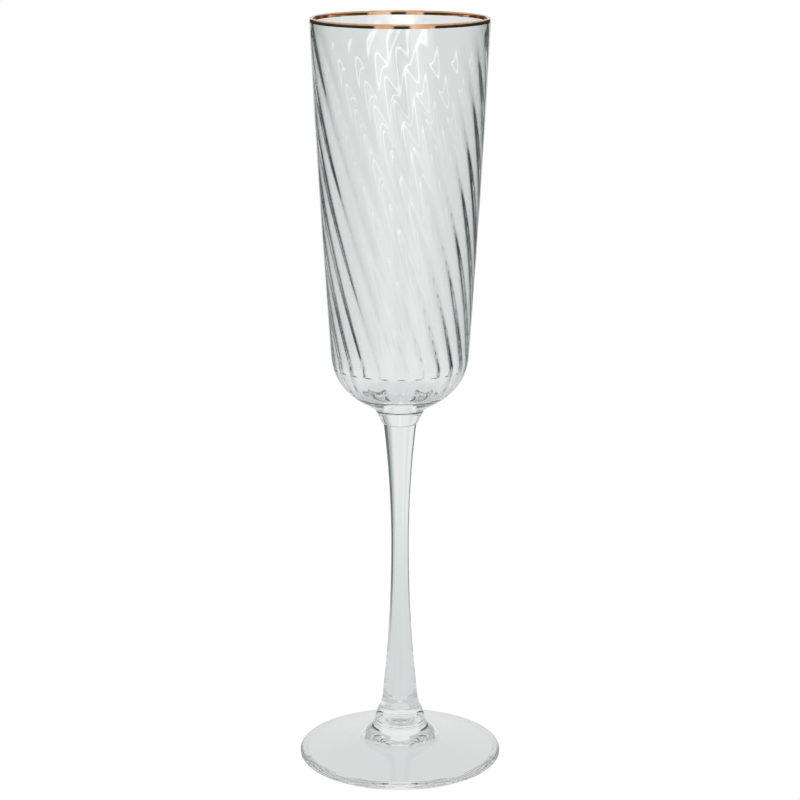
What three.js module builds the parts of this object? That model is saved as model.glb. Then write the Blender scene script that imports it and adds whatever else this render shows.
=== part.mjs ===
// Champagne flute with a swirled optic bowl and a fired gold lip line.
//
// The frame is in millimetres with +Z up. The origin is the centre of the ring
// that the flute stands on. Each piece of glass is made on its own and then
// welded end to end with the next, so each piece here is its own closed solid:
//
//   foot       low cone of glass, hollow below, with a short boss on top
//   stem       drawn solid rod with a slim waist
//   bowl       blown bowl with a solid neck, a thick floor and swirled optic ribs inside
//   gold_rim   thin band of fired gold that wraps the lip
//
// The welds are flat faces across the axis, at STEM_LOW_Z and STEM_HIGH_Z.

import * as THREE from 'three';

const radians = THREE.MathUtils.degToRad;

// ---- Driving dimensions, in millimetres and degrees ----

const HEIGHT = 250;                // foot ring to the top of the lip
const STEM_LOW_Z = 19.3;           // weld between foot and stem
const STEM_HIGH_Z = 116.6;         // weld between stem and bowl

// Foot
const FOOT_RADIUS = 34.1;
const FOOT_EDGE_THICKNESS = 2.9;
const FOOT_EDGE_ROUND = 1.38;      // radius of the rounded edge, above and below
const FOOT_RING_RADIUS = 30.5;     // inside of the flat ring that the foot stands on
const FOOT_HOLLOW_Z = 5.6;         // height of the hollow underside at its middle
const FOOT_HOLLOW_ROUND = 9;       // the hollow rounds over inside this radius
const FOOT_HOLLOW_BEND = 3;        // and bends about this one, where it comes level
const FOOT_SLOPE = radians(12.5);  // slope of the cone, above and below
const FLARE_RADIUS = 16;           // where the cone starts to rise into the boss
const FLARE_BEND_RADIUS = 10;      // the rise bends about here
const BOSS_RADIUS = 8.5;
const BOSS_Z = 12.4;               // where the boss starts to round over
const BOSS_BEND_RADIUS = 8;        // its side bends about here
const BOSS_BEND_Z = 15.8;
const BOSS_CROWN_RADIUS = 7.1;     // the rounding ends here, in a hollow curve up to the weld
const BOSS_CROWN_Z = 16.9;
const BOSS_NECK_RADIUS = 6.5;      // and that curve bends about here
const BOSS_NECK_Z = 17.9;
const BOSS_TOP_RADIUS = 6.3;

// Stem
const WAIST_Z = 75;
const WAIST_RADIUS = 2.95;
const STEM_TOP_RADIUS = 5.45;
const STEM_FOOT_RADIUS = 6.15;

// Bowl, outside
const NECK_BOTTOM_RADIUS = 5.6;
const NECK_SHOULDER_RADIUS = 6.3;  // the neck's rounded bottom edge, by the weld
const NECK_SHOULDER_Z = 117.6;
const NECK_BEND_RADIUS = 7.4;      // the neck's side bends about here
const NECK_BEND_Z = 119.9;
const NECK_TOP_RADIUS = 8.4;       // the crease where the neck meets the bowl
const NECK_TOP_Z = 121.8;
const NECK_TOP_LEAN = 0.65;        // how much the neck widens there for each millimetre up
const CREASE_DROP = 0.4;           // the crease is rounded over this height
const CREASE_WIDTH = 0.4;          // and over this much of the cone above it
const BASE_SLOPE = radians(26.6);  // the cone under the bowl, above the horizontal
const BASE_RADIUS = 12.8;          // where that cone turns into the shoulder
const BASE_Z = 124.5;
const SHOULDER_ROUND = 18;         // radius of the arc from the base into the side
const SIDE_SLOPE = radians(85.2);  // the side just above the shoulder
const SIDE_BULGE = 0.35;           // how far the side bows out from a straight cone
const LIP_RADIUS = 29;             // glass at the lip, without the gold

// Bowl, inside
const FLOOR_Z = 127;               // top of the thick flat floor
const FLOOR_BEND = radians(52);    // how far the inside turns along the shoulder before the floor
const WALL_LOW = 2.2;              // wall thickness in the shoulder and just above it
const WALL_LIP = 1.2;              // wall thickness at the lip

// Swirled optic ribs on the inside of the bowl
const RIB_COUNT = 24;
const RIB_DEPTH_LIP = 0.08;        // from crest to hollow, near the lip
const RIB_DEPTH_LOW = 0.6;         // and at the bottom of the bowl's side
const RIB_CREST = 0.5;             // how rounded the crests are: 0 is a sharp ridge
const RIB_TWIST = radians(0.8);    // turn for each millimetre of drop from the lip
const RIB_PHASE = radians(3.75);   // where round the bowl the first rib leaves the lip
const RIB_FADE = 8;                // the ribs melt away over this much height below the gold
const RIB_END_Z = 136;             // where the ribs stop, just above the shoulder
const RIB_END_FADE = 0.4;
const RIB_REST = 0.4;              // share of their depth that goes on below, round the shoulder

// Gold band
const GOLD_DROP = 1.4;             // how far the band comes down each side of the lip
const GOLD_THICKNESS = 0.12;

// Mesh fineness
const FOOT_SIDES = 72;
const STEM_SIDES = 32;
const STEM_STEPS = 16;
const BOWL_SIDES = 4 * RIB_COUNT;
const SIDE_STEPS = 6;
const INNER_STEPS = 11;
const LIP_STEPS = 4;
const SHOULDER_STEPS = 5;

// ---- Profiles ----
// A profile is a list of points, with x the radius and y the height.

function point(radius, z) {
  return new THREE.Vector2(radius, z);
}

// An arc about a centre, from one angle to the other, with both its ends.
function arc(centre, round, from, to, steps) {
  const points = [];
  for (let i = 0; i <= steps; i += 1) {
    const angle = from + ((to - from) * i) / steps;
    points.push(point(centre.x + round * Math.cos(angle), centre.y + round * Math.sin(angle)));
  }
  return points;
}

// A quadratic curve, without its first point.
function curve(start, control, end, steps) {
  return new THREE.QuadraticBezierCurve(start, control, end).getPoints(steps).slice(1);
}

// A solid of revolution about Z, from a profile that goes anticlockwise round its section.
function turned(profile, sides) {
  return new THREE.LatheGeometry(profile, sides).rotateX(Math.PI / 2);
}

// ---- Foot ----

function footProfile() {
  const rise = Math.tan(FOOT_SLOPE);
  const hollow = point(FOOT_HOLLOW_ROUND, (FOOT_RING_RADIUS - FOOT_HOLLOW_ROUND) * rise);
  const edgeRadius = FOOT_RADIUS - FOOT_EDGE_ROUND;
  const lowCentre = point(edgeRadius, FOOT_EDGE_ROUND);
  const highCentre = point(edgeRadius, FOOT_EDGE_THICKNESS - FOOT_EDGE_ROUND);
  const lowEdge = arc(lowCentre, FOOT_EDGE_ROUND, -Math.PI / 2, 0, 3);
  const highEdge = arc(highCentre, FOOT_EDGE_ROUND, 0, Math.PI / 2 - FOOT_SLOPE, 3);
  const rim = highEdge[highEdge.length - 1];
  const flare = point(FLARE_RADIUS, rim.y + (rim.x - FLARE_RADIUS) * rise);
  const bend = point(FLARE_BEND_RADIUS, rim.y + (rim.x - FLARE_BEND_RADIUS) * rise);
  const boss = point(BOSS_RADIUS, BOSS_Z);
  const crown = point(BOSS_CROWN_RADIUS, BOSS_CROWN_Z);
  const weld = point(BOSS_TOP_RADIUS, STEM_LOW_Z);
  return [
    point(0, FOOT_HOLLOW_Z),
    ...curve(point(0, FOOT_HOLLOW_Z), point(FOOT_HOLLOW_BEND, FOOT_HOLLOW_Z), hollow, 3),
    point(FOOT_RING_RADIUS - 1, rise),
    point(FOOT_RING_RADIUS, 0),
    ...lowEdge,
    ...highEdge,
    ...curve(rim, point((rim.x + flare.x) / 2, (rim.y + flare.y) / 2), flare, 2),
    ...curve(flare, bend, boss, 6),
    ...curve(boss, point(BOSS_BEND_RADIUS, BOSS_BEND_Z), crown, 3),
    ...curve(crown, point(BOSS_NECK_RADIUS, BOSS_NECK_Z), weld, 3),
    point(0, STEM_LOW_Z),
  ];
}

function makeFoot() {
  return turned(footProfile(), FOOT_SIDES);
}

// ---- Stem ----

// The stem thickens from the waist to each weld along a parabola.
function stemRadius(z) {
  const above = z > WAIST_Z;
  const reach = above ? STEM_HIGH_Z - WAIST_Z : STEM_LOW_Z - WAIST_Z;
  const endRadius = above ? STEM_TOP_RADIUS : STEM_FOOT_RADIUS;
  return WAIST_RADIUS + (endRadius - WAIST_RADIUS) * Math.pow((z - WAIST_Z) / reach, 2);
}

function makeStem() {
  const profile = [point(0, STEM_LOW_Z)];
  for (let i = 0; i <= STEM_STEPS; i += 1) {
    const z = THREE.MathUtils.lerp(STEM_LOW_Z, STEM_HIGH_Z, i / STEM_STEPS);
    profile.push(point(stemRadius(z), z));
  }
  profile.push(point(0, STEM_HIGH_Z));
  return turned(profile, STEM_SIDES);
}

// ---- Bowl ----

const shoulderCentre = point(
  BASE_RADIUS - SHOULDER_ROUND * Math.sin(BASE_SLOPE),
  BASE_Z + SHOULDER_ROUND * Math.cos(BASE_SLOPE),
);
const sideLowRadius = shoulderCentre.x + SHOULDER_ROUND * Math.sin(SIDE_SLOPE);
const sideLowZ = shoulderCentre.y - SHOULDER_ROUND * Math.cos(SIDE_SLOPE);
const innerRound = SHOULDER_ROUND - WALL_LOW;
const innerLowZ = shoulderCentre.y - innerRound * Math.cos(SIDE_SLOPE);
const goldLowZ = HEIGHT - GOLD_DROP;
const lipRound = WALL_LIP / 2;
const lipCentre = point(LIP_RADIUS - lipRound, HEIGHT - GOLD_THICKNESS - lipRound);

// Share of the way up the bowl's side, from the shoulder to the lip.
function sideShare(z) {
  return (z - sideLowZ) / (lipCentre.y - sideLowZ);
}

// Outside of the bowl's side: a cone, bowed out most at its middle.
function sideRadius(z) {
  const share = sideShare(z);
  const cone = THREE.MathUtils.lerp(sideLowRadius, LIP_RADIUS, share);
  return cone + SIDE_BULGE * 4 * share * (1 - share);
}

// Inside of the bowl's wall, without its ribs: the wall thins steadily to the lip.
function innerRadius(z) {
  const wall = THREE.MathUtils.lerp(WALL_LOW, WALL_LIP, Math.max(sideShare(z), 0));
  return sideRadius(z) - wall;
}

// Depth of the ribs at a height: it grows downwards, and goes to nothing at the gold and the floor.
function ribDepth(z) {
  const full = THREE.MathUtils.lerp(RIB_DEPTH_LOW, RIB_DEPTH_LIP, Math.max(sideShare(z), 0));
  const fromLip = THREE.MathUtils.smoothstep(goldLowZ - z, 0, RIB_FADE);
  const fromEnd = THREE.MathUtils.lerp(RIB_REST, 1, THREE.MathUtils.smoothstep(z - RIB_END_Z, 0, RIB_END_FADE));
  const fromFloor = THREE.MathUtils.smoothstep(z - FLOOR_Z, 0, RIB_END_Z - FLOOR_Z);
  return full * fromLip * fromEnd * fromFloor;
}

// From -0.5 in a hollow to 0.5 on a crest: broad hollows between narrower crests.
function ribShape(around) {
  const hollow = Math.hypot(Math.cos((RIB_COUNT * around) / 2), RIB_CREST) - RIB_CREST;
  return 0.5 - hollow / (Math.hypot(1, RIB_CREST) - RIB_CREST);
}

// The inside of the shoulder follows its outside at the wall's thickness, with a ring at each end of
// the step where the ribs stop. The bends are angles below the horizontal.
function innerShoulder() {
  const highest = Math.PI / 2 - SIDE_SLOPE;
  const bends = [];
  for (let i = 0; i <= SHOULDER_STEPS; i += 1) {
    bends.push(THREE.MathUtils.lerp(highest, FLOOR_BEND, i / SHOULDER_STEPS));
  }
  bends.push(Math.asin((shoulderCentre.y - RIB_END_Z - RIB_END_FADE) / innerRound));
  bends.push(Math.asin((shoulderCentre.y - RIB_END_Z) / innerRound));
  bends.sort((a, b) => a - b);
  return bends.map((bend) => point(
    shoulderCentre.x + innerRound * Math.cos(bend),
    shoulderCentre.y - innerRound * Math.sin(bend),
  ));
}

// The closed outline of the bowl's section, from the weld, up the outside,
// over the lip, and down the inside to the middle of the floor.
function bowlOutline() {
  const neckTop = point(NECK_TOP_RADIUS, NECK_TOP_Z);
  const outside = [];
  for (let i = 1; i < SIDE_STEPS; i += 1) {
    const z = THREE.MathUtils.lerp(sideLowZ, goldLowZ, i / SIDE_STEPS);
    outside.push(point(sideRadius(z), z));
  }
  const inside = [];
  for (let i = 1; i < INNER_STEPS; i += 1) {
    const z = THREE.MathUtils.lerp(goldLowZ, innerLowZ, i / INNER_STEPS);
    inside.push(point(innerRadius(z), z));
  }
  inside.push(...innerShoulder());
  const low = inside[inside.length - 1];
  const corner = point(low.x - (low.y - FLOOR_Z) * Math.tan(FLOOR_BEND), FLOOR_Z);
  const floorEdge = point(2 * corner.x - low.x, FLOOR_Z);
  const neckLow = point(NECK_SHOULDER_RADIUS, NECK_SHOULDER_Z);
  const neckBend = point(NECK_BEND_RADIUS, NECK_BEND_Z);
  const creaseLow = point(NECK_TOP_RADIUS - NECK_TOP_LEAN * CREASE_DROP, NECK_TOP_Z - CREASE_DROP);
  const creaseHigh = point(NECK_TOP_RADIUS + CREASE_WIDTH, NECK_TOP_Z + CREASE_WIDTH * Math.tan(BASE_SLOPE));
  return [
    point(0, STEM_HIGH_Z),
    point(NECK_BOTTOM_RADIUS, STEM_HIGH_Z),
    neckLow,
    ...curve(neckLow, neckBend, creaseLow, 2),
    ...curve(creaseLow, neckTop, creaseHigh, 2),
    ...arc(shoulderCentre, SHOULDER_ROUND, BASE_SLOPE - Math.PI / 2, SIDE_SLOPE - Math.PI / 2, SHOULDER_STEPS),
    ...outside,
    ...lipSection(0),
    ...inside,
    ...curve(low, corner, floorEdge, 3),
    point(0, FLOOR_Z),
  ];
}

// The lip that the gold wraps, grown by an amount, from its outside over to its inside.
function lipSection(grow) {
  return [
    point(sideRadius(goldLowZ) + grow, goldLowZ),
    ...arc(lipCentre, lipRound + grow, 0, Math.PI, LIP_STEPS),
    point(innerRadius(goldLowZ) - grow, goldLowZ),
  ];
}

// The bowl is turned about Z like the other pieces, but its inner rings are
// also rippled by the ribs, and each ring is turned on by the ribs' twist.
function makeBowl() {
  const outline = bowlOutline();
  const lipIndex = outline.reduce((best, p, i) => (p.y > outline[best].y ? i : best), 0);
  const rings = outline.slice(1, -1);
  const positions = [0, 0, outline[0].y];
  rings.forEach((ring, r) => {
    const inner = r + 1 > lipIndex;
    const depth = inner ? ribDepth(ring.y) : 0;
    const twist = RIB_PHASE + (inner ? RIB_TWIST * Math.max(goldLowZ - ring.y, 0) : 0);
    for (let s = 0; s < BOWL_SIDES; s += 1) {
      const around = (2 * Math.PI * s) / BOWL_SIDES;
      const radius = ring.x - depth * ribShape(around);
      const angle = around + twist;
      positions.push(radius * Math.cos(angle), radius * Math.sin(angle), ring.y);
    }
  });
  positions.push(0, 0, outline[outline.length - 1].y);

  const faces = [];
  const vertex = (r, s) => 1 + r * BOWL_SIDES + (s % BOWL_SIDES);
  const last = rings.length - 1;
  for (let s = 0; s < BOWL_SIDES; s += 1) {
    faces.push(0, vertex(0, s + 1), vertex(0, s));
    for (let r = 0; r < last; r += 1) {
      faces.push(vertex(r, s), vertex(r, s + 1), vertex(r + 1, s + 1));
      faces.push(vertex(r, s), vertex(r + 1, s + 1), vertex(r + 1, s));
    }
    faces.push(vertex(last, s), vertex(last, s + 1), positions.length / 3 - 1);
  }
  const geometry = new THREE.BufferGeometry();
  geometry.setAttribute('position', new THREE.Float32BufferAttribute(positions, 3));
  geometry.setIndex(faces);
  geometry.computeVertexNormals();
  return geometry;
}

// ---- Gold band ----

// A thin shell that follows the lip exactly on its glass side.
function makeGoldRim() {
  const section = [...lipSection(GOLD_THICKNESS), ...lipSection(0).reverse()];
  return turned([...section, section[0]], BOWL_SIDES);
}

// ---- Materials ----

function glass() {
  return new THREE.MeshStandardMaterial({
    color: 0xe6eeec,
    roughness: 0.03,
    metalness: 0,
    transparent: true,
    opacity: 0.35,
  });
}

function gold() {
  return new THREE.MeshStandardMaterial({ color: 0xd9a35c, roughness: 0.18, metalness: 1 });
}

// ---- Assembly ----

function piece(name, geometry, material) {
  const mesh = new THREE.Mesh(geometry, material);
  mesh.name = name;
  return mesh;
}

const flute = new THREE.Group();
flute.name = 'champagne_flute';
flute.add(piece('foot', makeFoot(), glass()));
flute.add(piece('stem', makeStem(), glass()));
flute.add(piece('bowl', makeBowl(), glass()));
flute.add(piece('gold_rim', makeGoldRim(), gold()));

export default flute;
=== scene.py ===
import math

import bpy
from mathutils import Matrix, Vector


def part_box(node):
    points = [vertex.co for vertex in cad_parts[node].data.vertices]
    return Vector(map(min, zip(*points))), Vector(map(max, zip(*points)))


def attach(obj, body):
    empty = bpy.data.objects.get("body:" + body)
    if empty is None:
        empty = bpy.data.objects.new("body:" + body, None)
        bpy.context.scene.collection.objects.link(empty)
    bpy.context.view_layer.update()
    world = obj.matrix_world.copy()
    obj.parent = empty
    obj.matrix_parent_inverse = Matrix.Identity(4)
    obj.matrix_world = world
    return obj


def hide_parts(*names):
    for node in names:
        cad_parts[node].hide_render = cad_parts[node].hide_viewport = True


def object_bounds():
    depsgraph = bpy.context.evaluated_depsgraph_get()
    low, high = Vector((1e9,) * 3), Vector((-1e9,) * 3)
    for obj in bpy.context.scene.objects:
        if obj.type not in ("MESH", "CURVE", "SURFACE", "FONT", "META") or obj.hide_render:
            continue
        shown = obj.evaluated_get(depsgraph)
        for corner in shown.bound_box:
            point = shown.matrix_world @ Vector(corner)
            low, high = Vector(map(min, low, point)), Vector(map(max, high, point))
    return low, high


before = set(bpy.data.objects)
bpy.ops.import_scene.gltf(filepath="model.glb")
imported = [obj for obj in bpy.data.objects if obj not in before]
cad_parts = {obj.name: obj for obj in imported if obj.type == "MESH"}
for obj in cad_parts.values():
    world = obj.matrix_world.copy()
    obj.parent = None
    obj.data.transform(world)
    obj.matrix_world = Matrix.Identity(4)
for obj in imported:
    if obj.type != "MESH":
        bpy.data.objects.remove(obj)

# Champagne flute: a blown bowl with swirled optic ribs, a drawn stem and a pressed foot,
# welded end to end, with a line of fired gold round the lip.
#
# Metres, +Z up, in the frame's own place. Each piece replaces its CAD node with a fine mesh
# that is turned from a smooth outline, so that light bends through the glass cleanly. All four
# ride the one body, root.
#
# The stage has no lamps: its table and sky glow. They are plain white to the camera, but not to
# light that has passed through glass or been mirrored. For that light they are brightest in four
# fixed directions, behind the flute from azimuths 0, 45, 90 and 225, and greyer elsewhere.

cad_low, cad_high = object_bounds()
MM = 0.001

# ---- Driving dimensions, from the frame where it holds them ----

HEIGHT = cad_high.z
FOOT_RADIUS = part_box("foot")[1].x
STEM_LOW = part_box("stem")[0].z             # weld between foot and stem
STEM_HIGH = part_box("stem")[1].z            # weld between stem and bowl
LIP_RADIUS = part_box("bowl")[1].x           # outside of the lip
BAND_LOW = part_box("gold_rim")[0].z         # lower edge of the gold

# Foot
FOOT_EDGE = 2.9 * MM                       # thickness at the edge
FOOT_EDGE_ROUND = 1.38 * MM
FOOT_RING_RADIUS = 30.5 * MM               # inside of the ring that the foot stands on
FOOT_RING_EDGE = 1 * MM                    # the hollow runs straight to this far inside the ring
FOOT_HOLLOW = 5.6 * MM                     # height of the hollow underside at its middle
FOOT_HOLLOW_ROUND = 9 * MM                 # the hollow rounds over inside this radius
FOOT_HOLLOW_BEND = 3 * MM                  # and bends about this one, where it comes level
FOOT_SLOPE = math.radians(12.5)            # the disc is a low cone, above and below
FLARE_RADIUS = 16 * MM                     # where the disc starts to rise into the boss
FLARE_BEND_RADIUS = 10 * MM                # the rise bends about here
BOSS_RADIUS = 8.5 * MM
BOSS_BASE = 12.4 * MM                      # where the boss starts to round over
BOSS_BEND_RADIUS = 8 * MM                  # its side bends about here
BOSS_BEND = 15.8 * MM
BOSS_CROWN_RADIUS = 7.1 * MM               # the rounding ends here, in a hollow curve up to the weld
BOSS_CROWN = 16.9 * MM
BOSS_NECK_RADIUS = 6.5 * MM                # and that curve bends about here
BOSS_NECK = 17.9 * MM
BOSS_TOP_RADIUS = 6.3 * MM

# Stem
WAIST = 75 * MM                            # height of the waist
WAIST_RADIUS = 2.95 * MM
STEM_TOP_RADIUS = 5.45 * MM
STEM_FOOT_RADIUS = 6.15 * MM
WELD_INSET = 0.05 * MM                     # the clear weld faces stop this far inside the stem's edge

# Bowl, outside
NECK_RADIUS = 5.5 * MM                     # at the weld
NECK_FOOT_RADIUS = 6 * MM                  # its bottom edge is rounded about here
NECK_FOOT = 116.8 * MM
NECK_ROUND_RADIUS = 6.3 * MM               # as far as here
NECK_ROUND = 117.6 * MM
NECK_BEND_RADIUS = 7.4 * MM                # its side bends about here
NECK_BEND = 119.9 * MM
NECK_TOP_RADIUS = 8.4 * MM                 # the crease where the neck meets the bowl
NECK_TOP = 121.8 * MM
NECK_TOP_LEAN = 0.65                       # how far the neck widens there for each unit it rises
CREASE_DROP = 0.4 * MM                     # the crease is rounded from this far below it
CREASE_WIDTH = 0.4 * MM                    # to this far outside it
BASE_SLOPE = math.radians(26.6)            # the cone under the bowl
BASE_RADIUS = 12.8 * MM
BASE = 124.5 * MM
SHOULDER_ROUND = 18 * MM
SIDE_SLOPE = math.radians(85.2)
SIDE_BULGE = 0.35 * MM

# Bowl, inside
FLOOR = 127 * MM
FLOOR_BEND = math.radians(52)              # how far the inside turns along the shoulder before the floor
FLOOR_MIDDLE = 0.5 * MM                    # radius of the innermost ring of the floor
WALL_LOW = 2.2 * MM                        # in the shoulder and just above it
WALL_LIP = 1.2 * MM

# Swirled optic ribs
RIB_COUNT = 24
RIB_DEPTH_LIP = 0.08 * MM                  # from crest to hollow, on the inside, near the lip
RIB_DEPTH_LOW = 0.6 * MM                   # and just above the floor
RIB_CREST = 0.5                            # how rounded the crests are: 0 is a sharp ridge
RIB_OUTSIDE = 0.05                         # share of the depth that shows on the outside
RIB_TWIST = math.radians(0.8) / MM         # turn for each metre of drop from the lip
RIB_FADE = 8 * MM                          # the ribs melt away over this much height below the gold
RIB_END = 136 * MM                         # they step down at this height, above the rounded floor
RIB_END_FADE = 0.4 * MM
RIB_REST = 0.4                             # share of their depth that goes on below, round the shoulder
RIB_PHASE = math.radians(3.75)             # where round the bowl the first rib leaves the lip

# Gold band
GOLD_THICKNESS = 0.05 * MM
GOLD_GAP = 0.004 * MM                      # keeps its inner face off the glass

# Mesh fineness
STEP = 0.6 * MM                            # length of a face along an outline
SIDE_STEP = 1.3 * MM                       # and along the straight side of the bowl
BOWL_SIDES = 14 * RIB_COUNT                # 14 to a rib
STEM_SIDES = 96
FOOT_SIDES = 192
EDGE_STEPS = 12                            # round each half of the foot's edge
LIP_STEPS = 16
END_STEPS = 5                              # down the step where the ribs end
SHARP_ANGLE = math.radians(40)             # edges that turn more than this are shaded sharp


# ---- Outlines: lists of (radius, height), anticlockwise round the section ----

def lerp(a, b, share):
    return a + (b - a) * share


def smoothstep(value, low, high):
    share = min(max((value - low) / (high - low), 0), 1)
    return share * share * (3 - 2 * share)


def steps_for(length, step=STEP):
    return max(2, round(length / step))


def line(start, end):
    """A straight run, without its first point."""
    count = steps_for(math.dist(start, end))
    shares = [i / count for i in range(1, count + 1)]
    return [(lerp(start[0], end[0], share), lerp(start[1], end[1], share)) for share in shares]


def arc(centre, round_, start, end, steps=None):
    """An arc about a centre, with both its ends."""
    count = steps or steps_for(abs(end - start) * round_)
    angles = [lerp(start, end, i / count) for i in range(count + 1)]
    return [(centre[0] + round_ * math.cos(a), centre[1] + round_ * math.sin(a)) for a in angles]


def curve(start, control, end):
    """A quadratic curve, without its first point."""
    count = steps_for(math.dist(start, control) + math.dist(control, end))
    points = []
    for i in range(1, count + 1):
        t = i / count
        points.append(tuple(
            (1 - t) ** 2 * start[k] + 2 * t * (1 - t) * control[k] + t * t * end[k]
            for k in range(2)
        ))
    return points


# ---- Turning an outline into a mesh ----

def new_piece(name, points, faces, slots=None):
    """A smooth piece. slots gives each face's material slot, where it isn't 0 throughout."""
    mesh = bpy.data.meshes.new(name)
    mesh.from_pydata(points, [], faces)
    if slots:
        mesh.polygons.foreach_set("material_index", slots)
    mesh.polygons.foreach_set("use_smooth", [True] * len(faces))
    mesh.set_sharp_from_angle(angle=SHARP_ANGLE)
    mesh.validate()
    piece = bpy.data.objects.new(name, mesh)
    bpy.context.scene.collection.objects.link(piece)
    return piece


def turn(name, outline, sides, shift=None, weld_rings=()):
    """A closed solid from an outline that starts and ends on the axis.

    shift(ring, radius, height, around) gives the (radius, angle) to use in place of a plain ring's.
    Faces between the axis and the rings in weld_rings are weld faces and get material slot 1.
    """
    rings = outline[1:-1]
    points = [(0, 0, outline[0][1])]
    for index, (radius, height) in enumerate(rings):
        for s in range(sides):
            around = 2 * math.pi * s / sides
            r, angle = shift(index, radius, height, around) if shift else (radius, around)
            points.append((r * math.cos(angle), r * math.sin(angle), height))
    points.append((0, 0, outline[-1][1]))
    faces = []
    slots = []

    def vertex(ring, s):
        return 1 + ring * sides + s % sides

    last = len(rings) - 1
    for s in range(sides):
        faces.append((0, vertex(0, s + 1), vertex(0, s)))
        slots.append(1 if 0 in weld_rings else 0)
        for ring in range(last):
            above = ring + 1
            low = (vertex(ring, s), vertex(ring, s + 1))
            high = (vertex(above, s + 1), vertex(above, s))
            faces.append(low + high)
            slots.append(0)
        faces.append((vertex(last, s), vertex(last, s + 1), len(points) - 1))
        slots.append(1 if last in weld_rings else 0)
    return new_piece(name, points, faces, slots)


def turn_loop(name, loop, sides):
    """A ring whose section is a closed loop."""
    points = []
    for radius, height in loop:
        for s in range(sides):
            around = 2 * math.pi * s / sides
            points.append((radius * math.cos(around), radius * math.sin(around), height))
    count = len(loop)
    faces = []
    for k in range(count):
        for s in range(sides):
            after = (s + 1) % sides
            above = (k + 1) % count
            low = (k * sides + s, k * sides + after)
            high = (above * sides + after, above * sides + s)
            faces.append(low + high)
    return new_piece(name, points, faces)


# ---- Node helpers ----

def node(tree, kind, inputs=None, **settings):
    """A new node. inputs maps its sockets to values or to the sockets that feed them."""
    made = tree.nodes.new(kind)
    for key, value in settings.items():
        setattr(made, key, value)
    for key, value in (inputs or {}).items():
        if isinstance(value, bpy.types.NodeSocket):
            tree.links.new(value, made.inputs[key])
        else:
            made.inputs[key].default_value = value
    return made


def math_node(tree, operation, *values):
    made = tree.nodes.new("ShaderNodeMath")
    made.operation = operation
    for i, value in enumerate(values):
        if isinstance(value, bpy.types.NodeSocket):
            tree.links.new(value, made.inputs[i])
        else:
            made.inputs[i].default_value = value
    return made.outputs[0]


def ramp(tree, value, low, high, to_low=0.0, to_high=1.0):
    """value from low to high, eased into to_low to to_high."""
    made = node(tree, "ShaderNodeMapRange", interpolation_type="SMOOTHSTEP")
    tree.links.new(value, made.inputs["Value"])
    made.inputs["From Min"].default_value = low
    made.inputs["From Max"].default_value = high
    made.inputs["To Min"].default_value = to_low
    made.inputs["To Max"].default_value = to_high
    return made.outputs["Result"]


def new_material(name):
    material = bpy.data.materials.new(name)
    material.use_nodes = True
    material.node_tree.nodes.clear()
    tree = material.node_tree
    return material, tree, node(tree, "ShaderNodeOutputMaterial")


# ---- Materials ----

GLASS_TINT = (0.985, 0.992, 0.99, 1)
GLASS_IOR = 1.5
GOLD_PATCHES = 260.0                       # scale of the patches
GOLD_DULL = (0.78, 0.40, 0.17, 1)
GOLD_BRIGHT = (1.0, 0.67, 0.47, 1)
GOLD_FROM = 0.3                            # the noise runs from dull to bright between these
GOLD_TO = 0.7
GOLD_ROUGH = 0.1                           # where it is dull
GOLD_SMOOTH = 0.05                         # where it is bright


def glass(name, stretch, ripple_scale, ripple_height):
    """Clear soda glass with a faint fire-polished ripple, stretched the way the piece was worked."""
    material, tree, output = new_material(name)
    place = node(tree, "ShaderNodeTexCoord").outputs["Object"]
    stretched = node(tree, "ShaderNodeMapping", {"Vector": place, "Scale": stretch}).outputs["Vector"]
    waves = {"Vector": stretched, "Scale": ripple_scale, "Detail": 2.0, "Roughness": 0.5}
    ripple = node(tree, "ShaderNodeTexNoise", waves).outputs["Fac"]
    lift = {"Height": ripple, "Distance": ripple_height, "Strength": 1.0}
    bump = node(tree, "ShaderNodeBump", lift)
    shader = node(tree, "ShaderNodeBsdfPrincipled", {"Normal": bump.outputs["Normal"]})
    shader.inputs["Base Color"].default_value = GLASS_TINT
    shader.inputs["Roughness"].default_value = 0.0
    shader.inputs["IOR"].default_value = GLASS_IOR
    shader.inputs["Transmission Weight"].default_value = 1.0
    tree.links.new(shader.outputs["BSDF"], output.inputs["Surface"])
    return material


def weld_material():
    """The two faces of a weld are one glass, so light goes straight on through them."""
    material, tree, output = new_material("weld")
    shader = node(tree, "ShaderNodeBsdfTransparent")
    tree.links.new(shader.outputs["BSDF"], output.inputs["Surface"])
    return material


def gold():
    """Fired bright gold: a mirror film that is warmer and duller in patches."""
    material, tree, output = new_material("fired_gold")
    place = node(tree, "ShaderNodeTexCoord").outputs["Object"]
    patches = node(tree, "ShaderNodeTexNoise", {"Vector": place, "Scale": GOLD_PATCHES, "Detail": 4.0})
    colour = node(tree, "ShaderNodeValToRGB", {"Fac": patches.outputs["Fac"]})
    colour.color_ramp.elements[0].position = GOLD_FROM
    colour.color_ramp.elements[0].color = GOLD_DULL
    colour.color_ramp.elements[1].position = GOLD_TO
    colour.color_ramp.elements[1].color = GOLD_BRIGHT
    rough = ramp(tree, patches.outputs["Fac"], GOLD_FROM, GOLD_TO, GOLD_ROUGH, GOLD_SMOOTH)
    film = {"Base Color": colour.outputs["Color"], "Roughness": rough, "Metallic": 1.0}
    shader = node(tree, "ShaderNodeBsdfPrincipled", film)
    tree.links.new(shader.outputs["BSDF"], output.inputs["Surface"])
    return material


# ---- Foot ----

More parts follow.
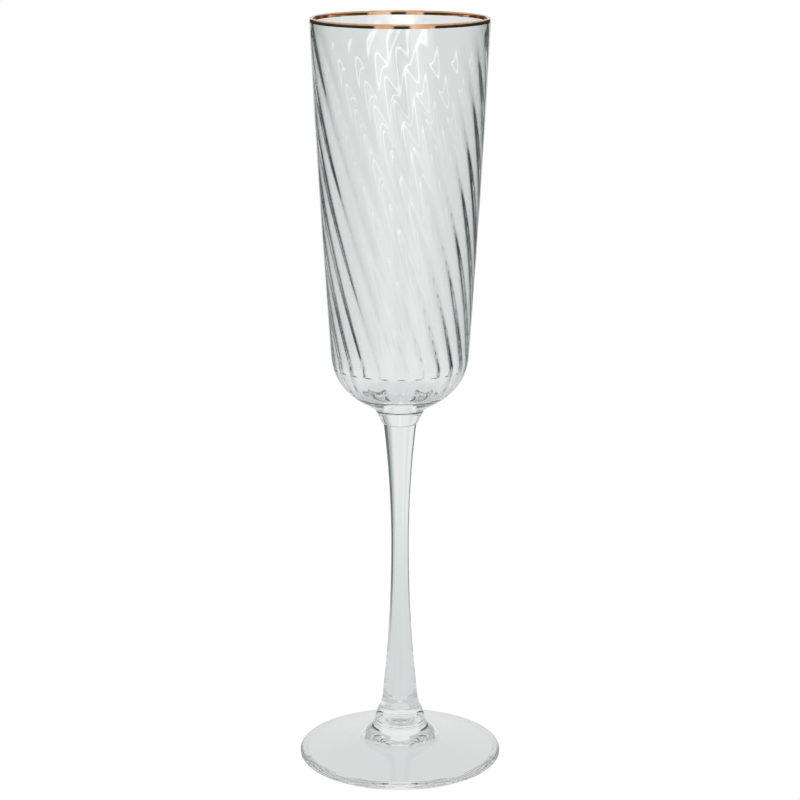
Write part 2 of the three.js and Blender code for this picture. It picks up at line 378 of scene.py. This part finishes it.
def foot_outline():
    """Up the hollow underside's slope from its middle, over the edge and up the boss to the weld."""
    rise = math.tan(FOOT_SLOPE)
    top = (0, FOOT_HOLLOW)
    cone_top = (FOOT_HOLLOW_ROUND, (FOOT_RING_RADIUS - FOOT_HOLLOW_ROUND) * rise)
    dish = [
        top,
        *curve(top, (FOOT_HOLLOW_BEND, FOOT_HOLLOW), cone_top),
        *line(cone_top, (FOOT_RING_RADIUS - FOOT_RING_EDGE, FOOT_RING_EDGE * rise)),
        (FOOT_RING_RADIUS, 0),
    ]
    edge = FOOT_RADIUS - FOOT_EDGE_ROUND
    low_centre = (edge, FOOT_EDGE_ROUND)
    high_centre = (edge, FOOT_EDGE - FOOT_EDGE_ROUND)
    low_edge = arc(low_centre, FOOT_EDGE_ROUND, -math.pi / 2, 0, EDGE_STEPS)
    high_edge = arc(high_centre, FOOT_EDGE_ROUND, 0, math.pi / 2 - FOOT_SLOPE, EDGE_STEPS)
    rim = high_edge[-1]
    flare = (FLARE_RADIUS, rim[1] + (rim[0] - FLARE_RADIUS) * rise)
    flare_bend = (FLARE_BEND_RADIUS, rim[1] + (rim[0] - FLARE_BEND_RADIUS) * rise)
    boss = (BOSS_RADIUS, BOSS_BASE)
    crown = (BOSS_CROWN_RADIUS, BOSS_CROWN)
    weld = (BOSS_TOP_RADIUS, STEM_LOW)
    return [
        *dish,
        *line(dish[-1], low_edge[0]),
        *low_edge[1:],
        *high_edge,
        *line(rim, flare),
        *curve(flare, flare_bend, boss),
        *curve(boss, (BOSS_BEND_RADIUS, BOSS_BEND), crown),
        *curve(crown, (BOSS_NECK_RADIUS, BOSS_NECK), weld),
        (STEM_FOOT_RADIUS - WELD_INSET, STEM_LOW),
        (0, STEM_LOW),
    ]


def make_foot(material, weld):
    outline = foot_outline()
    last_ring = len(outline[1:-1]) - 1
    piece = turn("foot_glass", outline, FOOT_SIDES, weld_rings=(last_ring,))
    piece.data.materials.append(material)
    piece.data.materials.append(weld)
    return piece


# ---- Stem ----

def stem_radius(z):
    """The stem widens from its waist to each end by the square of the way there."""
    above = z > WAIST
    reach = STEM_HIGH - WAIST if above else STEM_LOW - WAIST
    end = STEM_TOP_RADIUS if above else STEM_FOOT_RADIUS
    return WAIST_RADIUS + (end - WAIST_RADIUS) * ((z - WAIST) / reach) ** 2


def make_stem(material, weld):
    count = steps_for(STEM_HIGH - STEM_LOW)
    side = []
    for i in range(count + 1):
        z = lerp(STEM_LOW, STEM_HIGH, i / count)
        side.append((stem_radius(z), z))
    outline = [(0, STEM_LOW), *side, (0, STEM_HIGH)]
    piece = turn("stem_glass", outline, STEM_SIDES, weld_rings=(0, len(side) - 1))
    piece.data.materials.append(material)
    piece.data.materials.append(weld)
    return piece


# ---- Bowl ----

shoulder_centre = (
    BASE_RADIUS - SHOULDER_ROUND * math.sin(BASE_SLOPE),
    BASE + SHOULDER_ROUND * math.cos(BASE_SLOPE),
)
inner_round = SHOULDER_ROUND - WALL_LOW
side_low_radius = shoulder_centre[0] + SHOULDER_ROUND * math.sin(SIDE_SLOPE)
side_low = shoulder_centre[1] - SHOULDER_ROUND * math.cos(SIDE_SLOPE)
lip_round = WALL_LIP / 2
lip_centre = (LIP_RADIUS - lip_round, HEIGHT - GOLD_THICKNESS - lip_round)


def side_share(z):
    return (z - side_low) / (lip_centre[1] - side_low)


def side_radius(z):
    """Outside of the bowl's side: a cone, bowed out most at its middle."""
    share = side_share(z)
    return lerp(side_low_radius, LIP_RADIUS, share) + SIDE_BULGE * 4 * share * (1 - share)


def inner_radius(z):
    """Inside of the bowl's wall, without its ribs."""
    share = max(side_share(z), 0)
    return side_radius(z) - lerp(WALL_LOW, WALL_LIP, share)


def rib_depth(z):
    """How deep the ribs are at a height: deepest just above their step, gone at the gold and the floor."""
    full = lerp(RIB_DEPTH_LOW, RIB_DEPTH_LIP, max(side_share(z), 0))
    from_lip = smoothstep(BAND_LOW - z, 0, RIB_FADE)
    from_end = lerp(RIB_REST, 1, smoothstep(z - RIB_END, 0, RIB_END_FADE))
    from_floor = smoothstep(z - FLOOR, 0, RIB_END - FLOOR)
    return full * from_lip * from_end * from_floor


def rib_shape(around):
    """From -0.5 in a hollow to 0.5 on a crest, for an angle about the axis."""
    hollow = math.hypot(math.cos(RIB_COUNT * around / 2), RIB_CREST) - RIB_CREST
    return 0.5 - hollow / (math.hypot(1, RIB_CREST) - RIB_CREST)


def lip_section(grow):
    """The lip that the gold wraps, grown by an amount, from its outside over to its inside."""
    return [
        (side_radius(BAND_LOW) + grow, BAND_LOW),
        *arc(lip_centre, lip_round + grow, 0, math.pi, LIP_STEPS),
        (inner_radius(BAND_LOW) - grow, BAND_LOW),
    ]


def inner_shoulder():
    """The inside of the shoulder, parallel to its outside, with close rings where the ribs step down.

    A bend is an angle below the horizontal, about the shoulder's centre.
    """
    highest = math.pi / 2 - SIDE_SLOPE
    count = steps_for((FLOOR_BEND - highest) * inner_round)
    bends = [lerp(highest, FLOOR_BEND, i / count) for i in range(count + 1)]
    for i in range(END_STEPS + 1):
        z = RIB_END + RIB_END_FADE * i / END_STEPS
        bends.append(math.asin((shoulder_centre[1] - z) / inner_round))
    points = []
    for bend in sorted(bends):
        points.append((
            shoulder_centre[0] + inner_round * math.cos(bend),
            shoulder_centre[1] - inner_round * math.sin(bend),
        ))
    return points


def bowl_outline():
    """The outline, and the index of the first ring that lies inside the bowl."""
    neck_low = (NECK_RADIUS, STEM_HIGH)
    neck_round = (NECK_ROUND_RADIUS, NECK_ROUND)
    neck_top = (NECK_TOP_RADIUS, NECK_TOP)
    neck_side = (NECK_TOP_RADIUS - NECK_TOP_LEAN * CREASE_DROP, NECK_TOP - CREASE_DROP)
    neck_out = (NECK_TOP_RADIUS + CREASE_WIDTH, NECK_TOP + CREASE_WIDTH * math.tan(BASE_SLOPE))
    shoulder = arc(shoulder_centre, SHOULDER_ROUND, BASE_SLOPE - math.pi / 2, SIDE_SLOPE - math.pi / 2)
    count = steps_for(BAND_LOW - side_low, SIDE_STEP)
    outside = []
    for i in range(1, count):
        z = lerp(side_low, BAND_LOW, i / count)
        outside.append((side_radius(z), z))
    inner_low = shoulder_centre[1] - inner_round * math.cos(SIDE_SLOPE)
    count = steps_for(BAND_LOW - inner_low, SIDE_STEP)
    inside = []
    for i in range(1, count):
        z = lerp(BAND_LOW, inner_low, i / count)
        inside.append((inner_radius(z), z))
    inside.extend(inner_shoulder())
    corner = (inside[-1][0] - (inside[-1][1] - FLOOR) * math.tan(FLOOR_BEND), FLOOR)
    floor_edge = (2 * corner[0] - inside[-1][0], FLOOR)
    before = [
        (0, STEM_HIGH),
        (STEM_TOP_RADIUS - WELD_INSET, STEM_HIGH),
        neck_low,
        *curve(neck_low, (NECK_FOOT_RADIUS, NECK_FOOT), neck_round),
        *curve(neck_round, (NECK_BEND_RADIUS, NECK_BEND), neck_side),
        *curve(neck_side, neck_top, neck_out),
        *line(neck_out, shoulder[0]),
        *shoulder[1:],
        *outside,
        *lip_section(0),
    ]
    after = [
        *inside,
        *curve(inside[-1], corner, floor_edge),
        *line(floor_edge, (FLOOR_MIDDLE, FLOOR)),
        (0, FLOOR),
    ]
    return before + after, len(before) - 1


def make_bowl(material, weld):
    outline, first_inner = bowl_outline()

    def swirl(ring, radius, height, around):
        share = 1 if ring >= first_inner else -RIB_OUTSIDE
        twist = RIB_TWIST * max(BAND_LOW - max(height, side_low), 0)
        return radius - share * rib_depth(height) * rib_shape(around), around + twist + RIB_PHASE

    piece = turn("bowl_glass", outline, BOWL_SIDES, swirl, weld_rings=(0,))
    piece.data.materials.append(material)
    piece.data.materials.append(weld)
    return piece


# ---- Gold band ----

def make_gold_band(material):
    outer = lip_section(GOLD_THICKNESS)
    inner = lip_section(GOLD_GAP)
    piece = turn_loop("gold_band", [*outer, *reversed(inner)], BOWL_SIDES)
    piece.data.materials.append(material)
    return piece


# ---- Stage: white to the camera, with lights and dark flags that only glass and gold show ----

GLOW = (90, 135, 180, 315)                 # directions behind the flute from azimuths 0, 45, 90 and 225
GLOW_CORE = 12                             # the stage glows fully out to this many degrees from them
GLOW_END = 40                              # and fades out to here
GLOW_SHARE = 0.45                          # how bright it is away from the glow, from any other side
GLOW_NEAR = 0.05                           # the table is evenly lit out to here
TABLE_SHARE = 0.8                          # this brightly
GLOW_TABLE = 0.42                          # and glows only in the directions above from here on
FLAGS = ((26, 20), (156, 10), (247, 15))   # dark flags that stand round it: direction and half width
FLAG_SOFT = 4
FLAG_TABLE = 0.18                          # the flags show fully on the table from here on
LIT = ((90, 18), (250, 9), (298, 13))      # lights that reflections find: direction and half width
LIT_SOFT = 5
OVERHEAD = 0.15                            # and a soft light above, from this sine of the elevation
OVERHEAD_SOFT = 0.25
OVERHEAD_SHARE = 0.7
STRIPS = ((90, 0.2),)                      # narrow bright strips on the table: direction and half width
STRIP_SOFT = 0.8
STRIP_SHINE = 0.22                         # how much brighter than the stage
STRIP_NEAR = 0.8                           # where a strip starts, and where it is at its brightest
STRIP_FAR = 1.8
NEAR_FLOOR = 0.3                           # reflections find a lit floor out to here
NEAR_FLOOR_END = 0.39                      # and none from here on
NEAR_SHARE = 0.7                           # how bright it is
BRIGHT = (0.835, 0.84, 0.843, 1)
MIDDLE = (0.38, 0.41, 0.405, 1)
MIDDLE_SHARE = 0.45                        # the share of brightness that has the middle colour
DARK = (0.03, 0.045, 0.042, 1)
WHITE = (1, 1, 1, 1)
FAR = 9.0                                  # the sky counts as this far away
FLOOR_REACH = 8.0                          # half the floor's side
FLOOR_DROP = 0.2 * MM                      # the floor lies this far below the foot


def angle_off(tree, vector, direction):
    """How far a vector turns away from a direction round the axis, in radians."""
    split = node(tree, "ShaderNodeSeparateXYZ", {"Vector": vector})
    flat = node(tree, "ShaderNodeCombineXYZ", {"X": split.outputs["X"], "Y": split.outputs["Y"], "Z": 0.0})
    level = node(tree, "ShaderNodeVectorMath", {0: flat.outputs["Vector"]}, operation="NORMALIZE")
    angle = math.radians(direction)
    toward = (math.cos(angle), math.sin(angle), 0)
    sides = {0: level.outputs["Vector"], 1: toward}
    facing = node(tree, "ShaderNodeVectorMath", sides, operation="DOT_PRODUCT")
    return math_node(tree, "ARCCOSINE", math_node(tree, "MINIMUM", facing.outputs["Value"], 1.0))


def sectors(tree, vector, places, soft):
    """1 inside any of the given sectors, which are directions and half widths in degrees."""
    total = None
    for direction, width in places:
        off = angle_off(tree, vector, direction)
        share = ramp(tree, off, math.radians(width), math.radians(width + soft), 1.0, 0.0)
        total = share if total is None else math_node(tree, "MAXIMUM", total, share)
    return total


def glow_share(tree, vector, away):
    """The stage's brightness: full in the glow's directions, less elsewhere, none at the flags."""
    behind = [(direction, GLOW_CORE) for direction in GLOW]
    glow = sectors(tree, vector, behind, GLOW_END - GLOW_CORE)
    dimmed = ramp(tree, glow, 0.0, 1.0, GLOW_SHARE, 1.0)
    beyond = ramp(tree, away, GLOW_NEAR, GLOW_TABLE)
    shown = ramp(tree, away, GLOW_NEAR, FLAG_TABLE)
    flags = math_node(tree, "MULTIPLY", sectors(tree, vector, FLAGS, FLAG_SOFT), shown)
    lit = node(tree, "ShaderNodeMix", {"Factor": beyond, "A": TABLE_SHARE}, data_type="FLOAT")
    tree.links.new(dimmed, lit.inputs["B"])
    unflagged = math_node(tree, "SUBTRACT", 1.0, flags)
    return math_node(tree, "MULTIPLY", lit.outputs["Result"], unflagged)


def mix(tree, factor, a, b):
    """One colour into another, each a value or a socket."""
    made = node(tree, "ShaderNodeMix", {"Factor": factor}, data_type="RGBA")
    for value, socket in ((a, made.inputs["A"]), (b, made.inputs["B"])):
        if isinstance(value, bpy.types.NodeSocket):
            tree.links.new(value, socket)
        else:
            socket.default_value = value
    return made.outputs["Result"]


def stage_colour(tree, vector, away, clear, reflected):
    """White to the camera itself. Light that only passed through glass finds the clear share of
    brightness, and light that was mirrored on its way finds the reflected share."""
    path = node(tree, "ShaderNodeLightPath")
    mirrored = math_node(tree, "MINIMUM", path.outputs["Glossy Depth"], 1.0)
    share = node(tree, "ShaderNodeMix", {"Factor": mirrored}, data_type="FLOAT")
    tree.links.new(clear, share.inputs["A"])
    tree.links.new(reflected, share.inputs["B"])
    lit = node(tree, "ShaderNodeValToRGB", {"Fac": share.outputs["Result"]})
    lit.color_ramp.elements[0].color = DARK
    lit.color_ramp.elements[1].color = BRIGHT
    middle = lit.color_ramp.elements.new(MIDDLE_SHARE)
    middle.color = MIDDLE
    strip = sectors(tree, vector, STRIPS, STRIP_SOFT)
    out = ramp(tree, away, STRIP_NEAR, STRIP_FAR, 0.0, STRIP_SHINE)
    passed = math_node(tree, "SUBTRACT", 1.0, mirrored)
    shine = math_node(tree, "MULTIPLY", math_node(tree, "MULTIPLY", strip, out), passed)
    bright = node(tree, "ShaderNodeMix", {"Factor": 1.0}, data_type="RGBA", blend_type="ADD")
    tree.links.new(lit.outputs["Color"], bright.inputs["A"])
    tree.links.new(shine, bright.inputs["B"])
    return mix(tree, path.outputs["Is Camera Ray"], bright.outputs["Result"], WHITE)


def make_world():
    world = bpy.data.worlds.new("studio")
    world.use_nodes = True
    tree = world.node_tree
    tree.nodes.clear()
    direction = node(tree, "ShaderNodeTexCoord").outputs["Generated"]
    up = node(tree, "ShaderNodeSeparateXYZ", {"Vector": direction}).outputs["Z"]
    overhead = ramp(tree, up, OVERHEAD, OVERHEAD + OVERHEAD_SOFT, 0.0, OVERHEAD_SHARE)
    reflected = math_node(tree, "MAXIMUM", sectors(tree, direction, LIT, LIT_SOFT), overhead)
    far = node(tree, "ShaderNodeValue").outputs[0]
    far.default_value = FAR
    clear = glow_share(tree, direction, far)
    colour = stage_colour(tree, direction, far, clear, reflected)
    background = node(tree, "ShaderNodeBackground", {"Color": colour})
    output = node(tree, "ShaderNodeOutputWorld")
    tree.links.new(background.outputs["Background"], output.inputs["Surface"])
    bpy.context.scene.world = world


def make_floor():
    square = ((-1, -1), (1, -1), (1, 1), (-1, 1))
    corners = [(x * FLOOR_REACH, y * FLOOR_REACH, -FLOOR_DROP) for x, y in square]
    mesh = bpy.data.meshes.new("floor")
    mesh.from_pydata(corners, [], [(0, 1, 2, 3)])
    floor = bpy.data.objects.new("floor", mesh)
    bpy.context.scene.collection.objects.link(floor)
    material, tree, output = new_material("pale_floor")
    place = node(tree, "ShaderNodeTexCoord").outputs["Object"]
    away = node(tree, "ShaderNodeVectorMath", {0: place}, operation="LENGTH").outputs["Value"]
    near = ramp(tree, away, NEAR_FLOOR, NEAR_FLOOR_END, NEAR_SHARE, 0.0)
    reflected = math_node(tree, "MAXIMUM", sectors(tree, place, LIT, LIT_SOFT), near)
    clear = glow_share(tree, place, away)
    colour = stage_colour(tree, place, away, clear, reflected)
    glow = node(tree, "ShaderNodeEmission", {"Color": colour})
    tree.links.new(glow.outputs["Emission"], output.inputs["Surface"])
    mesh.materials.append(material)


# ---- Camera and light paths ----

CAMERA_PLACE = (0, -0.7539, 0.3095)
CAMERA_TILT = math.radians(13.79)          # how far it looks down
CAMERA_LENS = 105.5                        # in mm, as Blender counts it
BOUNCES = 64                               # enough for light that crosses the whole flute
MIRRORINGS = 22
CLEAR_PASSES = 16                          # through the weld faces


def make_camera():
    data = bpy.data.cameras.new("camera")
    data.lens = CAMERA_LENS
    data.sensor_width = 36
    data.clip_end = 50
    camera = bpy.data.objects.new("camera", data)
    camera.location = CAMERA_PLACE
    camera.rotation_euler = (math.pi / 2 - CAMERA_TILT, 0, 0)
    bpy.context.scene.collection.objects.link(camera)
    bpy.context.scene.camera = camera


def set_light_paths():
    scene = bpy.context.scene
    scene.cycles.max_bounces = BOUNCES
    scene.cycles.transmission_bounces = BOUNCES
    scene.cycles.glossy_bounces = MIRRORINGS
    scene.cycles.transparent_max_bounces = CLEAR_PASSES
    scene.view_settings.view_transform = "Standard"


make_camera()
make_world()
make_floor()
set_light_paths()

weld = weld_material()
foot_glass = glass("foot_glass", stretch=(1, 1, 1), ripple_scale=60, ripple_height=0.02 * MM)
stem_glass = glass("stem_glass", stretch=(1, 1, 0.2), ripple_scale=180, ripple_height=0.01 * MM)
bowl_glass = glass("bowl_glass", stretch=(1, 1, 0.4), ripple_scale=70, ripple_height=0.02 * MM)
pieces = {
    "foot": (make_foot(foot_glass, weld), "foot_glass"),
    "stem": (make_stem(stem_glass, weld), "stem_glass"),
    "bowl": (make_bowl(bowl_glass, weld), "bowl_glass"),
    "gold_rim": (make_gold_band(gold()), "gold"),
}
for cad_node, (piece, slot) in pieces.items():
    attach(piece, "root")
    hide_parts(cad_node)
